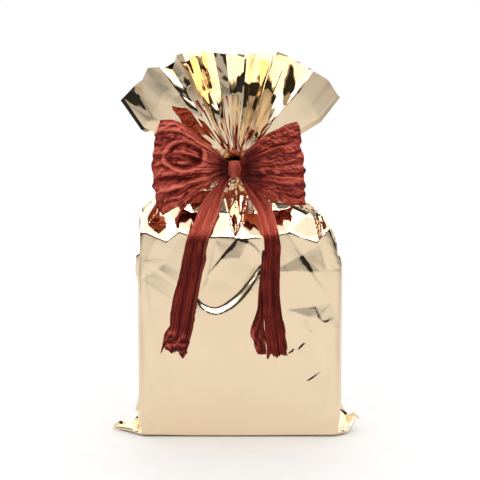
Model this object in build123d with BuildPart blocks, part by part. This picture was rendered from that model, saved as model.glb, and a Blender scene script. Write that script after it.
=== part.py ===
"""A flat foil gift bag, filled with a carton, gathered at the neck and tied with a ribbon bow.

Millimetres. +Z is up and the bag's front faces -Y. The origin is the centre of the standing base,
on the floor, midway between the front and the back of the bag.
"""

import os

from build123d import *

# ---- Driving dimensions -------------------------------------------------------------------------
BODY_WIDTH = 199.0  # across the filled bag
BODY_DEPTH = 54.0  # front to back of the filled bag
FILM = 0.6  # film wall
CORNER = 8.0  # rounding of the filled bag's upright edges
BASE_ROUND = 6.0  # height over which the film rolls under to the base
BASE_INSET = 4.0  # how far the base stands inside the sides
SHOULDER_Z = 200.0  # where the front bends back towards the neck
LEFT_SEAM_TOP = 198.0  # where the sealed side seams end
RIGHT_SEAM_TOP = 172.0
NECK_X = -5.0  # the neck is tied a little to the left
NECK_Z = 262.0  # underside of the gathered neck
NECK_HEIGHT = 16.0
NECK_RADIUS = 12.0
MOUTH_Z = 385.0  # highest point of the flared mouth
MOUTH_WIDTH = 236.0
MOUTH_DEPTH = 58.0
SEAM = 5.0  # width of a sealed seam
SEAM_THICK = 1.2  # two films fused together
RIBBON = 1.6  # thickness of crinkled ribbon
GAP = 0.5  # air between pieces that move against each other

HALF_WIDTH = BODY_WIDTH / 2
MOUTH_BASE_Z = NECK_Z + NECK_HEIGHT + GAP

# The bag's outside from floor to neck: height, left edge, right edge, depth.
# The right shoulder is drawn in lower down than the left one.
BODY_SECTIONS = [
    (0, BASE_INSET - HALF_WIDTH, HALF_WIDTH - BASE_INSET, BODY_DEPTH - 2 * BASE_INSET),
    (BASE_ROUND, -HALF_WIDTH, HALF_WIDTH, BODY_DEPTH),
    (174, -HALF_WIDTH, HALF_WIDTH, BODY_DEPTH),
    (SHOULDER_Z, -HALF_WIDTH, 93, BODY_DEPTH),
    (224, -96, 84, 36),
    (238, -82, 69, 26),
    (NECK_Z, NECK_X - NECK_RADIUS, NECK_X + NECK_RADIUS, 2 * NECK_RADIUS - 2),
]

# The flared mouth from neck to rim: height, middle, half width, half depth.
MOUTH_SECTIONS = [
    (MOUTH_BASE_Z, NECK_X, NECK_RADIUS + 1, NECK_RADIUS - 2),
    (306, NECK_X, 90, 17),
    (334, 0, MOUTH_WIDTH / 2, 23),
    (MOUTH_Z + 1, 0, MOUTH_WIDTH / 2, MOUTH_DEPTH / 2),
]

# The flared mouth's front view, from the left of the neck round the rim to the right of the neck.
MOUTH_OUTLINE = [
    (-19, 276), (-93, 306), (-117, 335), (-87, 367), (-66, 364), (-60, 378), (-45, MOUTH_Z),
    (0, 380), (28, MOUTH_Z), (50, 376), (76, 366), (97, 349), (87, 326), (63, 306), (9, 276),
]  # fmt: skip

BASE_LIFT = FILM + GAP  # the carton stands on the film
BOX_WIDTH = 190.0
BOX_DEPTH = 46.0
BOX_HEIGHT = 168.0
BOX_CORNER = 3.0
CARD = 1.5
LID_DROP = 40.0  # how far the lid comes down over the tray

os.makedirs("parts", exist_ok=True)


def body_solid(sections, inset):
    """A ruled solid through the sections, each drawn in by inset on every side."""
    with BuildPart() as solid:
        for height, left, right, depth in sections:
            middle = (left + right) / 2
            with BuildSketch(Plane((middle, 0, height))):
                RectangleRounded(right - left - 2 * inset, depth - 2 * inset, CORNER - inset)
        loft(ruled=True)
    return solid.part


def finish(part, name):
    """Labels a finished piece and writes its STEP file."""
    part.label = name
    export_step(part, f"parts/{name}.step")


# ---- The carton inside the bag ------------------------------------------------------------------
with BuildPart() as carton_tray:
    with BuildSketch(Plane.XY.offset(BASE_LIFT)):
        RectangleRounded(BOX_WIDTH - 2 * CARD - GAP, BOX_DEPTH - 2 * CARD - GAP, BOX_CORNER)
    extrude(amount=BOX_HEIGHT - CARD - GAP)
    offset(amount=-CARD, openings=carton_tray.faces().sort_by(Axis.Z)[-1])
finish(carton_tray.part, "carton_tray")

with BuildPart() as carton_lid:
    with BuildSketch(Plane.XY.offset(BASE_LIFT + BOX_HEIGHT - LID_DROP)):
        RectangleRounded(BOX_WIDTH, BOX_DEPTH, BOX_CORNER)
    extrude(amount=LID_DROP)
    offset(amount=-CARD, openings=carton_lid.faces().sort_by(Axis.Z)[0])
finish(carton_lid.part, "carton_lid")


# ---- The bag's film, front and back, from the base to the neck ---------------------------------
def film_panel(name, keep, side):
    """One film web: half the skin, less half of the bottom seam. side is -1 in front, 1 behind."""
    inner = [(max(height - FILM, FILM), *widths) for height, *widths in BODY_SECTIONS]
    inner.append((NECK_Z + 1, *BODY_SECTIONS[-1][1:]))  # opens the top
    with BuildPart() as panel:
        add(body_solid(BODY_SECTIONS, 0))
        add(body_solid(inner, FILM), mode=Mode.SUBTRACT)
        split(bisect_by=Plane.XZ, keep=keep)
        with Locations((0, side * SEAM / 2, 0)):
            Box(
                2 * (HALF_WIDTH - BASE_INSET),
                SEAM,
                FILM,
                align=(Align.CENTER, Align.CENTER, Align.MIN),
                mode=Mode.SUBTRACT,
            )
    finish(panel.part, name)


film_panel("front_panel", Keep.TOP, -1)
film_panel("back_panel", Keep.BOTTOM, 1)

with BuildPart() as bottom_seam:
    with BuildSketch(Plane.XY):
        Rectangle(2 * (HALF_WIDTH - BASE_INSET), 2 * SEAM)
    extrude(amount=FILM)
finish(bottom_seam.part, "bottom_seam")


CORNER_LENGTH = 25.0  # how far a flat base corner sticks out
CORNER_HALF = 22.0  # half its width along the bag's side
CORNER_HINGE_Z = 1.0
CORNER_TILT = {"left": 3, "right": 30}  # how far each stands up from the floor, in degrees
CORNER_BLUNT = 2.0  # how much of its point is cut off
CORNER_ROOM = 8.0  # free height over a corner that is folded up


# ---- Sealed side seams, standing out as thin fins ----------------------------------------------
def side_seam(name, side, top):
    """A seam fin up one side of the bag, above the room that the folded corner needs."""
    bottom = CORNER_HALF + CORNER_ROOM
    with BuildPart() as seam:
        with BuildSketch(Plane.XY.offset(bottom)):
            with Locations((side * (HALF_WIDTH + SEAM / 2), 0)):
                Rectangle(SEAM, SEAM_THICK)
        extrude(amount=top - bottom)
    finish(seam.part, name)


side_seam("left_side_seam", -1, LEFT_SEAM_TOP)
side_seam("right_side_seam", 1, RIGHT_SEAM_TOP)


# ---- Flat corners of the bag that stick out at the base ----------------------------------------
def base_corner(name, side, tilt):
    """A two-film triangle, hinged along the bag's bottom edge, with its point away from the bag."""
    hinge = (side * (HALF_WIDTH + 1), 0, CORNER_HINGE_Z)
    plane = Plane(hinge, x_dir=(side, 0, 0), z_dir=(0, 0, 1)).rotated((0, -side * tilt, 0))
    with BuildPart() as corner:
        with BuildSketch(plane):
            with BuildLine():
                Polyline(
                    (0, -CORNER_HALF),
                    (CORNER_LENGTH - CORNER_BLUNT, -CORNER_BLUNT),
                    (CORNER_LENGTH, 0),
                    (CORNER_LENGTH - CORNER_BLUNT, CORNER_BLUNT),
                    (0, CORNER_HALF),
                    close=True,
                )
            make_face()
        extrude(amount=SEAM_THICK / 2, both=True)
    finish(corner.part, name)


base_corner("left_base_corner", -1, CORNER_TILT["left"])
base_corner("right_base_corner", 1, CORNER_TILT["right"])


# ---- The gathered neck, its band and the flared mouth above it ---------------------------------
PLEATS = 14
PLEAT_LENGTH = 7.6
PLEAT_THICK = 2.6

with BuildPart() as neck_gather:
    with BuildSketch(Plane((NECK_X, 0, NECK_Z))):
        Circle(NECK_RADIUS - 3)
        with PolarLocations(NECK_RADIUS - 4, PLEATS):
            RectangleRounded(PLEAT_LENGTH, PLEAT_THICK, PLEAT_THICK / 2 - 0.1)
    extrude(amount=NECK_HEIGHT)
finish(neck_gather.part, "neck_gather")

BAND_INNER = NECK_RADIUS + GAP
BAND_OUTER = BAND_INNER + 2 * RIBBON

with BuildPart() as neck_band:
    with BuildSketch(Plane((NECK_X, 0, NECK_Z + 2))):
        Circle(BAND_OUTER)
        Circle(BAND_INNER, mode=Mode.SUBTRACT)
    extrude(amount=NECK_HEIGHT - 4)
    fillet(neck_band.edges().filter_by(GeomType.CIRCLE), RIBBON / 2)
finish(neck_band.part, "neck_band")


def mouth_solid(inset):
    """The trumpet from the neck to the mouth's rim, drawn in by inset."""
    with BuildPart() as solid:
        for height, middle, half_width, half_depth in MOUTH_SECTIONS:
            with BuildSketch(Plane((middle, 0, height))):
                Ellipse(half_width - inset, half_depth - inset)
        loft(ruled=True)
    return solid.part


def mouth_half(name, keep):
    """Half of the flared mouth, cut to its front view."""
    with BuildPart() as mouth:
        add(mouth_solid(0))
        add(mouth_solid(FILM), mode=Mode.SUBTRACT)
        with BuildSketch(Plane.XZ):
            with BuildLine():
                Polyline(*MOUTH_OUTLINE, close=True)
            make_face()
        extrude(amount=MOUTH_DEPTH, both=True, mode=Mode.INTERSECT)
        split(bisect_by=Plane.XZ, keep=keep)
    finish(mouth.part, name)


mouth_half("front_mouth", Keep.TOP)
mouth_half("back_mouth", Keep.BOTTOM)


# ---- The bow ------------------------------------------------------------------------------------
KNOT_Z = NECK_Z + NECK_HEIGHT / 2
KNOT_WIDTH = 15.0
KNOT_DEPTH = 13.0
KNOT_HEIGHT = 16.0
KNOT_ROUND = 4.0
KNOT_Y = -(BAND_OUTER + GAP + KNOT_DEPTH / 2)

with BuildPart() as bow_knot:
    with Locations((NECK_X, KNOT_Y, KNOT_Z)):
        Box(KNOT_WIDTH, KNOT_DEPTH, KNOT_HEIGHT)
    fillet(bow_knot.edges(), KNOT_ROUND)
finish(bow_knot.part, "bow_knot")

ROOT_GAP = 2.5  # leaves room for a loop's root to turn beside the knot
LEFT_ROOT = NECK_X - KNOT_WIDTH / 2 - ROOT_GAP
RIGHT_ROOT = NECK_X + KNOT_WIDTH / 2 + ROOT_GAP
ROOT_HALF = 3.4  # half the loop's thickness at its root
LOOP_ROUND = 2.2  # rounding where the ribbon turns
LOOP_REACH = 60.0  # no loop reaches further than this above or below the knot


def bow_loop(name, root, plan, front_view):
    """A loop of ribbon: a hollow band, open above and below, cut to the bow's front view."""
    with BuildPart() as loop:
        with BuildSketch(Plane.XY.offset(KNOT_Z - LOOP_REACH)):
            with BuildLine():
                Polyline((root, KNOT_Y + ROOT_HALF), (root, KNOT_Y - ROOT_HALF), *plan, close=True)
            make_face()
            fillet(vertices(), LOOP_ROUND)
            offset(amount=-RIBBON, mode=Mode.SUBTRACT)
        extrude(amount=2 * LOOP_REACH)
        with BuildSketch(Plane.XZ):
            with BuildLine():
                Polyline(*front_view, close=True)
            make_face()
        extrude(amount=BODY_WIDTH, both=True, mode=Mode.INTERSECT)
    finish(loop.part, name)


bow_loop(
    "left_loop",
    LEFT_ROOT,
    [(-33, -46), (-79, -48), (-87, -38), (-80, -27), (-34, -27)],
    [(-13, 275), (-32, 297), (-50, 313), (-64, 322), (-76, 322), (-81, 304), (-88, 272),
     (-80, 229), (-74, 228), (-56, 237), (-32, 256), (-13, 269)],
)  # fmt: skip
bow_loop(
    "right_loop",
    RIGHT_ROOT,
    [(20, -44), (57, -46), (66, -38), (59, -27), (22, -27)],
    [(3, 276), (9, 295), (21, 305), (46, 316), (55, 320), (59, 312), (61, 275), (67, 243),
     (60, 236), (41, 243), (18, 257), (3, 269)],
)  # fmt: skip


def ribbon_strip(name, front_view, side_view):
    """A hanging strip of ribbon: its front view, as thick and as far forward as its side view says."""
    with BuildPart() as strip:
        with BuildSketch(Plane.XZ):
            with BuildLine():
                Polyline(*front_view, close=True)
            make_face()
        extrude(amount=BODY_WIDTH)
        with BuildSketch(Plane.YZ):
            with BuildLine():
                Polyline(*side_view, close=True)
            make_face()
        extrude(amount=BODY_WIDTH, both=True, mode=Mode.INTERSECT)
    finish(strip.part, name)


# The tails leave the knot, lie forward down the shoulder, then bend and hang in front of the bag.
TAIL_TOP_Z = KNOT_Z - KNOT_HEIGHT / 2 - 2
TAIL_BEND_Z = 203.0
TAIL_LOWEST_Z = 70.0  # both tails end above this
TAIL_TOP_Y = -23.0
TAIL_HANG_Y = -32.0
TAIL_THICK = 2.4
STRIP_GAP = 3.0

UPPER_SIDE = [
    (TAIL_TOP_Y, TAIL_TOP_Z),
    (TAIL_TOP_Y - TAIL_THICK, TAIL_TOP_Z),
    (TAIL_HANG_Y - TAIL_THICK, TAIL_BEND_Z + STRIP_GAP / 2),
    (TAIL_HANG_Y, TAIL_BEND_Z + STRIP_GAP / 2),
]
LOWER_SIDE = [
    (TAIL_HANG_Y, TAIL_BEND_Z - STRIP_GAP / 2),
    (TAIL_HANG_Y - TAIL_THICK, TAIL_BEND_Z - STRIP_GAP / 2),
    (TAIL_HANG_Y - TAIL_THICK, TAIL_LOWEST_Z),
    (TAIL_HANG_Y, TAIL_LOWEST_Z),
]

ribbon_strip(
    "left_tail_upper",
    [(-21, 261), (-8, 261), (-20, 232), (-31, 204), (-50, 204), (-39, 238)],
    UPPER_SIDE,
)
ribbon_strip(
    "left_tail_lower",
    [(-51, 210), (-30, 210), (-43, 136), (-52, 92), (-60, 83), (-72, 83), (-80, 94), (-64, 138)],
    LOWER_SIDE,
)
ribbon_strip(
    "right_tail_upper",
    [(-3, 261), (6, 261), (30, 233), (38, 204), (23, 204), (15, 232)],
    UPPER_SIDE,
)
ribbon_strip(
    "right_tail_lower",
    [(22, 210), (40, 210), (41, 130), (47, 86), (28, 81), (17, 86), (11, 104), (19, 132)],
    LOWER_SIDE,
)
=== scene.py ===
"""A filled foil gift bag, gathered at the neck and tied with a crinkled ribbon bow. Lengths are millimetres
until a mesh is made. The CAD frame is used: +Z up, -Y to the front, +X to the right seen from the front."""
import math

import bpy
import numpy as np
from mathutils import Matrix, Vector
from mathutils.geometry import delaunay_2d_cdt


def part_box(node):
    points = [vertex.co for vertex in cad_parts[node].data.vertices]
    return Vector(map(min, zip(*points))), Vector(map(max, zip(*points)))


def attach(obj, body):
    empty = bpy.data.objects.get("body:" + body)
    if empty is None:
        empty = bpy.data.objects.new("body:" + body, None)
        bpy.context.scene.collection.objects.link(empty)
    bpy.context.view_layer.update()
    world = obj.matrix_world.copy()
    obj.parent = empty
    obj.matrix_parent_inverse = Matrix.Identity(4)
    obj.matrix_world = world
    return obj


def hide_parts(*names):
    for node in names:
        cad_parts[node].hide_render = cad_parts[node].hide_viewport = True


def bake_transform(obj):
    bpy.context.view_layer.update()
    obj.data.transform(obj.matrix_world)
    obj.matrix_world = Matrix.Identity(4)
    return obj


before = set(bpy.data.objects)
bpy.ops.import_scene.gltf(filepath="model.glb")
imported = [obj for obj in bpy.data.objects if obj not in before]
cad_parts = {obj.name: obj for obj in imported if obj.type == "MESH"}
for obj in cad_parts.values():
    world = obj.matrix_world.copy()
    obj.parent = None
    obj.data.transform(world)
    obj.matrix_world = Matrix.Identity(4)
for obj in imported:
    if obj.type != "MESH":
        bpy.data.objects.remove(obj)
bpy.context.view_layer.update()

MM = 0.001


def corners(node):
    """Lowest and highest corner of a CAD node in millimetres."""
    low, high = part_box(node)
    return np.array(low) / MM, np.array(high) / MM


# ---------------------------------------------------------------- film, solved as a sheet that can't stretch

FLAT_WIDTH = 254.0
TIE, TIE_RADIUS = 14.0, 8.5  # height and radius of the tied neck
NECK_X, NECK_Z = -5.0, 262.0  # bottom of the tied neck
LEFT_LENGTH, RIGHT_LENGTH = 346.0, 336.0  # film from the bottom seam up to the tie, along each side
FLARE = 118.0  # film above the tie, on average
FLARE_SIDE, FLARE_MIDDLE = 129.0, 110.0
HALF_W, HALF_D = 98.5, 26.5  # the contents' box
FRONT_TOP, RIDGE_TOP = 198.0, 232.0  # the contents' front edge, and the top they slope up to
RIDGE_HALF = 7.0  # half the width of that top
RIGHT_SLOPE = (0.9, 0, 0.42), 172.0  # the contents' sloping sides: which way they face and where they start
LEFT_SLOPE = (-0.6, 0, 0.8), 222.0
DEPTH_LIMIT = 29.0  # the film stays this near to the middle plane
MOUTH_LIMIT, MOUTH_OPENING = 11.0, 17.0  # the same above the tie: at the tie, and how much more at the rim
LEAN, LEAN_Z, LEAN_REACH = 0.2, 205.0, 60.0  # how the limit closes in over the shoulder
SEAM_FANS = (-68.0, -57.0), (62.0, 50.0)  # degrees the mouth's side seams lean out, at the tie and at the rim
FAN_DEPTH, FAN_PULL = 8.0, 0.02  # they fan out from this far below the tie's top, and how fast
FILM = 0.3  # film thickness in the meshes
LIFT = 0.6  # the film stands on its folded bottom seam

# widths of the mouth's facets across the front web from left to right, then across the back web
FRONT_FACETS = [14, 12, 36, 7, 8, 9, 10, 8, 9, 11, 5, 13, 10, 9, 9, 8, 14, 18, 10, 16, 14, 24]
BACK_FACETS = [24, 14, 26, 9, 12, 7, 12, 16, 8, 10, 18, 8, 12, 14, 9, 16, 18, 21]


def pull(a, b, rest, stiffness, apart=False):
    """How far points move to their rest distance. With apart, only the ones that are nearer move."""
    d = b - a
    length = np.sqrt(np.einsum("...k,...k->...", d, d)) + 1e-9
    stretch = length - rest
    if apart:
        stretch = np.minimum(stretch, 0)
    return d * (stretch / length * (0.5 * stiffness))[..., None]


def ring_pairs(P, rest, stiffness):
    """Neighbours round each row keep their distance."""
    for start in (0, 1):
        c = pull(P[:, start::2], np.roll(P, -1, axis=1)[:, start::2], rest, stiffness)
        P[:, start::2] += c
        P[:, 1 - start::2] -= np.roll(c, start, axis=1)


def row_pairs(P, rest, stiffness, shift=0):
    """Row i's column j and row i + 1's column j + shift keep their distance."""
    for start in (0, 1):
        a, b = P[start:-1:2], P[start + 1::2]
        c = pull(a, np.roll(b, -shift, axis=1), rest[start::2], stiffness)
        a += c
        b -= np.roll(c, shift, axis=1)


def stiffen(P, hu, hv, k, reach=2):
    """Bending stiffness: points two cells apart don't come closer."""
    m, n = P.shape[:2]
    for phase in range(2 * reach):
        here = np.arange(phase, n, 2 * reach)
        there = (here + reach) % n
        c = pull(P[:, here], P[:, there], reach * hu, k, apart=True)
        P[:, here] += c
        P[:, there] -= c
    for phase in range(2 * reach):
        here = np.arange(phase, m - reach, 2 * reach)
        c = pull(P[here], P[here + reach], hv[here] + hv[here + 1], k, apart=True)
        P[here] += c
        P[here + reach] -= c


def fold_columns(n, widths):
    """The columns of one web, of n // 2 cells, where facets of these widths meet."""
    edges = np.cumsum([0] + list(widths)) / sum(widths)
    return np.unique(np.round(edges * (n // 2)).astype(int))


def contents_planes(s):
    """Outward planes of what fills the bag: s goes from 0, a flat bag, to 1, a full one."""
    half_w = HALF_W + (FLAT_WIDTH / 2 - 1 - HALF_W) * (1 - s)
    half_d = max(HALF_D * s, 0.3)
    ridge = RIDGE_HALF * s + 0.2
    raw = [
        ((-1, 0, 0), (-half_w, 0, 0)),
        ((1, 0, 0), (half_w, 0, 0)),
        ((0, -1, 0), (0, -half_d, 0)),
        ((0, 1, 0), (0, half_d, 0)),
        ((0, 0, -1), (0, 0, 0.4)),
        ((0, 0, 1), (0, 0, RIDGE_TOP)),
        ((0, FRONT_TOP - RIDGE_TOP, half_d - ridge), (0, -half_d, FRONT_TOP)),
        ((0, RIDGE_TOP - FRONT_TOP, half_d - ridge), (0, half_d, FRONT_TOP)),
        (RIGHT_SLOPE[0], (half_w, 0, RIGHT_SLOPE[1])),
        (LEFT_SLOPE[0], (-half_w, 0, LEFT_SLOPE[1])),
    ]
    N = np.array([r[0] for r in raw], float)
    N /= np.linalg.norm(N, axis=1)[:, None]
    D = np.einsum("ij,ij->i", N, np.array([r[1] for r in raw], float))
    return N, D


def push_out(P, planes):
    """Moves points inside the contents straight out through the nearest plane."""
    N, D = planes
    dist = P @ N.T - D
    deepest = dist.max(-1)
    P -= np.where((deepest < 0)[..., None], deepest[..., None] * N[dist.argmax(-1)], 0.0)


def neck_ring(n, hu, s):
    """The pleated ring that the tie squeezes the film into, from the flat bag's outline at s = 0."""
    a = FLAT_WIDTH / 2 * (1 - s) + TIE_RADIUS * s
    b = 0.3 * (1 - s) + 0.85 * TIE_RADIUS * s
    t = np.linspace(0, 2 * np.pi, 4001)
    ex, ey = -a * np.cos(t), -b * np.sin(t)
    arc = np.concatenate([[0], np.cumsum(np.hypot(np.diff(ex), np.diff(ey)))])
    u = np.arange(n) / n * arc[-1]
    x, y = np.interp(u, arc, ex), np.interp(u, arc, ey)
    nx, ny = x / a ** 2, y / b ** 2
    length = np.hypot(nx, ny)
    zig = np.sqrt(max(hu * hu - (arc[-1] / n) ** 2, 0)) * np.where(np.arange(n) % 2, -0.5, 0.5)
    return NECK_X * s + x + nx / length * zig, y + ny / length * zig


class Film:
    """The bag as a tube of film: rows go up, and columns go from the left seam over the front to the back.
    The tie takes rows lo to hi. Cells are hu wide and hv high."""

    def __init__(self, spacing):
        self.n = 4 * int(round(2 * FLAT_WIDTH / spacing / 4))
        self.half = self.n // 2
        self.hu = 2 * FLAT_WIDTH / self.n
        self.lo = int(round(max(LEFT_LENGTH, RIGHT_LENGTH) / spacing))
        self.hi = self.lo + max(int(round(TIE / spacing)), 1)
        self.above = int(round(FLARE / spacing))
        self.m = self.hi + self.above + 1
        j = np.arange(self.n)
        front_x, back_x = -FLAT_WIDTH / 2 + j * self.hu, FLAT_WIDTH / 2 - (j - self.half) * self.hu
        self.x0 = np.where(j <= self.half, front_x, back_x)
        share = self.x0 / FLAT_WIDTH + 0.5
        self.hv = np.empty((self.m - 1, self.n))
        self.hv[:self.lo] = (LEFT_LENGTH + (RIGHT_LENGTH - LEFT_LENGTH) * share) / self.lo
        self.hv[self.lo:self.hi] = TIE / (self.hi - self.lo)
        reach = FLARE_MIDDLE + (FLARE_SIDE - FLARE_MIDDLE) * (2 * np.abs(self.x0) / FLAT_WIDTH) ** 2
        self.hv[self.hi:] = reach / self.above
        self.web = np.where(j < self.half, -1.0, 1.0)
        self.web[0] = self.web[self.half] = 0
        self.front = fold_columns(self.n, FRONT_FACETS)
        self.back = (self.n - fold_columns(self.n, BACK_FACETS)) % self.n
        self.mirror = (-j) % self.n

    def flat(self, rng):
        """The empty bag, lying nearly flat, with the mouth's pleats started where its facets meet."""
        P = np.zeros((self.m, self.n, 3))
        P[:, :, 0] = self.x0
        P[1:, :, 2] = np.cumsum(self.hv, axis=0)
        P[:, :, 1] = self.web * 0.5
        P[1:, :, 1] += self.web * 0.5 * np.abs(rng.standard_normal((self.m - 1, self.n)))
        bulge = np.zeros(self.n)
        for folds in (self.front, self.back):
            bulge[folds] = np.where(np.arange(len(folds)) % 2, 4.0, 0.0)
        bulge[: self.half + 1] = np.interp(np.arange(self.half + 1), self.front, bulge[self.front])
        back = np.unique(np.where(self.back == 0, self.n, self.back))
        bulge[self.half:] = np.interp(np.arange(self.half, self.n), back, bulge[back % self.n])
        fade = np.clip((np.arange(self.m) - self.hi) / self.above * 3, 0, 1)
        P[:, :, 1] += self.web * bulge * fade[:, None]
        return P

    def straighten_facets(self, P, spread):
        """Keeps each facet of the mouth straight between its two folds."""
        mouth = P[self.hi:]
        for folds in (self.front, self.back):
            for parity in (0, 1):
                for q in range(parity, len(folds) - 1, 2):
                    a, b = folds[q] % self.n, folds[q + 1] % self.n
                    cells = abs(int(folds[q + 1]) - int(folds[q]))
                    width = min(cells, self.n - cells) * self.hu
                    c = pull(mouth[:, a], mouth[:, b], width, 0.8, apart=True) * spread[:, None]
                    mouth[:, a] += c
                    mouth[:, b] -= c

    def hold_webs(self, P, limit):
        """Keeps the front web in front and the back web behind, within the depth limit and over the floor."""
        np.maximum(P[..., 2], 0.0, out=P[..., 2])
        y = P[..., 1]
        y[:, 1:self.half] = np.minimum(y[:, 1:self.half], -0.25)
        y[:, self.half + 1:] = np.maximum(y[:, self.half + 1:], 0.25)
        y[:, [0, self.half]] = 0
        shoulder = DEPTH_LIMIT - LEAN * np.clip(P[..., 2] - LEAN_Z, 0, LEAN_REACH)
        roof = np.where(np.arange(self.m)[:, None] < self.lo, shoulder, DEPTH_LIMIT)
        y[:] = np.clip(y, -np.minimum(limit, roof), np.minimum(limit, roof))

    def hold_ends(self, P, s):
        """Closes the bottom seam, and squeezes the tie's rows into the pleated ring."""
        row = 0.5 * (P[0] + P[0][self.mirror])
        row[:, 1] = 0
        row[:, 2] = np.maximum(row[:, 0] - HALF_W - 2, 0) * 0.6 * s
        P[0] = row
        x, y = neck_ring(self.n, self.hu, s)
        z = NECK_Z * s + (1 - s) * np.cumsum(self.hv, axis=0)[self.lo - 1]
        for i in range(self.lo, self.hi + 1):
            P[i, :, 0], P[i, :, 1] = x, y
            P[i, :, 2] = z + TIE * (i - self.lo) / (self.hi - self.lo)
        return z[0] + TIE

    def solve(self, P, s0, s1, iterations, bend):
        """Relaxes the film while the bag goes from s0 to s1, where 0 is a flat bag and 1 a full, tied one."""
        diagonal = np.hypot(self.hu, self.hv)
        velocity = np.zeros_like(P)
        mouth = P[self.hi:]
        rows = np.arange(len(mouth))
        spread = np.clip(rows / self.above / 0.35, 0, 1) ** 1.5
        seam_r = FLARE_SIDE * rows / self.above
        limit = np.full((self.m, 1), DEPTH_LIMIT)
        limit[self.hi:, 0] = MOUTH_LIMIT + MOUTH_OPENING * np.clip(rows / self.above * 2, 0, 1)
        for it in range(iterations):
            s = s0 + (s1 - s0) * min(1.0, (it + 1) / (0.7 * iterations))
            old = P.copy()
            P += velocity * 0.9
            ring_pairs(P, self.hu, 1.0)
            row_pairs(P, self.hv, 1.0)
            row_pairs(P, diagonal, 0.5, 1)
            row_pairs(P, diagonal, 0.5, -1)
            if it % 2 == 0:
                stiffen(P, self.hu, self.hv, bend)
            self.straighten_facets(P, spread)
            push_out(P, contents_planes(s))
            self.hold_webs(P, limit)
            tie_top = self.hold_ends(P, s)
            if s > 0.5:  # the mouth's side seams are drawn out straight
                for col, (near, far) in zip((0, self.half), SEAM_FANS):
                    t = np.radians(near + (far - near) * (seam_r / FLARE_SIDE))
                    tx = NECK_X + np.sin(t) * (seam_r + FAN_DEPTH)
                    tz = tie_top - FAN_DEPTH + np.cos(t) * (seam_r + FAN_DEPTH)
                    mouth[:, col, 0] += FAN_PULL * (tx - mouth[:, col, 0])
                    mouth[:, col, 2] += FAN_PULL * (tz - mouth[:, col, 2])
            velocity = np.clip(P - old, -0.5, 0.5) if it < iterations * 0.8 else P * 0.0
        return P


def resampled(P, m, n):
    """The tube P on m rows and n columns, joined by straight lines."""
    wide = np.concatenate([P, P[:, :1]], axis=1)
    u = np.arange(n) * P.shape[1] / n
    j = np.floor(u).astype(int)
    f = (u - j)[None, :, None]
    wide = wide[:, j] * (1 - f) + wide[:, j + 1] * f
    v = np.linspace(0, P.shape[0] - 1, m)
    i = np.minimum(np.floor(v).astype(int), P.shape[0] - 2)
    g = (v - i)[:, None, None]
    return wide[i] * (1 - g) + wide[i + 1] * g


def refined(P):
    """The tube P with twice the rows and columns, on smooth curves through its points."""
    a = np.empty((P.shape[0], P.shape[1] * 2, 3))
    a[:, ::2] = P
    a[:, 1::2] = (9 * (P + np.roll(P, -1, 1)) - np.roll(P, 1, 1) - np.roll(P, -2, 1)) / 16
    padded = np.concatenate([2 * a[:1] - a[1:2], a, 2 * a[-1:] - a[-2:-1]])
    b = np.empty((a.shape[0] * 2 - 1, a.shape[1], 3))
    b[::2] = a
    b[1::2] = (9 * (a[:-1] + a[1:]) - padded[:-3] - padded[3:]) / 16
    return b


def face_normals(P):
    """Unit normal and centre of each cell of the tube, between row i and i + 1 and column j and j + 1."""
    right = np.roll(P, -1, 1)
    a, b, c, d = P[:-1], right[:-1], right[1:], P[1:]
    N = np.cross(c - a, d - b)
    return N / (np.linalg.norm(N, axis=-1, keepdims=True) + 1e-12), (a + b + c + d) / 4


def sharpened(P, rounds, tolerance, blurs, hold):
    """Turns soft curves into flat facets that meet in crisp creases, as stiff foil does: cells' normals are
    averaged with neighbours that face nearly the same way, and the points then move to suit them."""
    P = P.copy()
    for _ in range(rounds):
        N, _ = face_normals(P)
        for _ in range(blurs):
            total = N.copy()
            padded = np.concatenate([N[:1], N, N[-1:]])
            below, above = padded[:-2], padded[2:]
            for rows, shift in ((N, 1), (N, -1), (below, 0), (above, 0), (below, 1), (below, -1),
                                (above, 1), (above, -1)):
                other = np.roll(rows, shift, 1)
                close = np.exp(-((N - other) ** 2).sum(-1) / (2 * tolerance ** 2))
                total += other * close[..., None]
            N = total / np.linalg.norm(total, axis=-1, keepdims=True)
        for _ in range(6):
            _, C = face_normals(P)
            move, count = np.zeros_like(P), np.zeros(P.shape[:2])
            for rows in (slice(0, -1), slice(1, None)):
                for shift in (0, 1):
                    n, c = np.roll(N, shift, 1), np.roll(C, shift, 1)
                    move[rows] += n * (n * (c - P[rows])).sum(-1, keepdims=True)
                    count[rows] += 1
            P += hold * move / count[..., None]
    return P


def solved_film():
    """Fills and ties the bag on a coarse grid, and then settles it on finer ones."""
    rng = np.random.default_rng(7)
    film = Film(8.0)
    P = film.solve(film.flat(rng), 0.0, 1.0, 1000, 0.05)
    stages = (((4.0, 500, 0.05), (2.9, 260, 0.2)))
    for spacing, iterations, rough in stages:
        film = Film(spacing)
        P = resampled(P, film.m, film.n)
        P = P + rng.standard_normal(P.shape) * rough
        P = film.solve(P, 1.0, 1.0, iterations, 0.05)
    return film, P


# ---------------------------------------------------------------- noise and mesh helpers

CELLS = 64  # the noise repeats after this many cells


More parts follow.
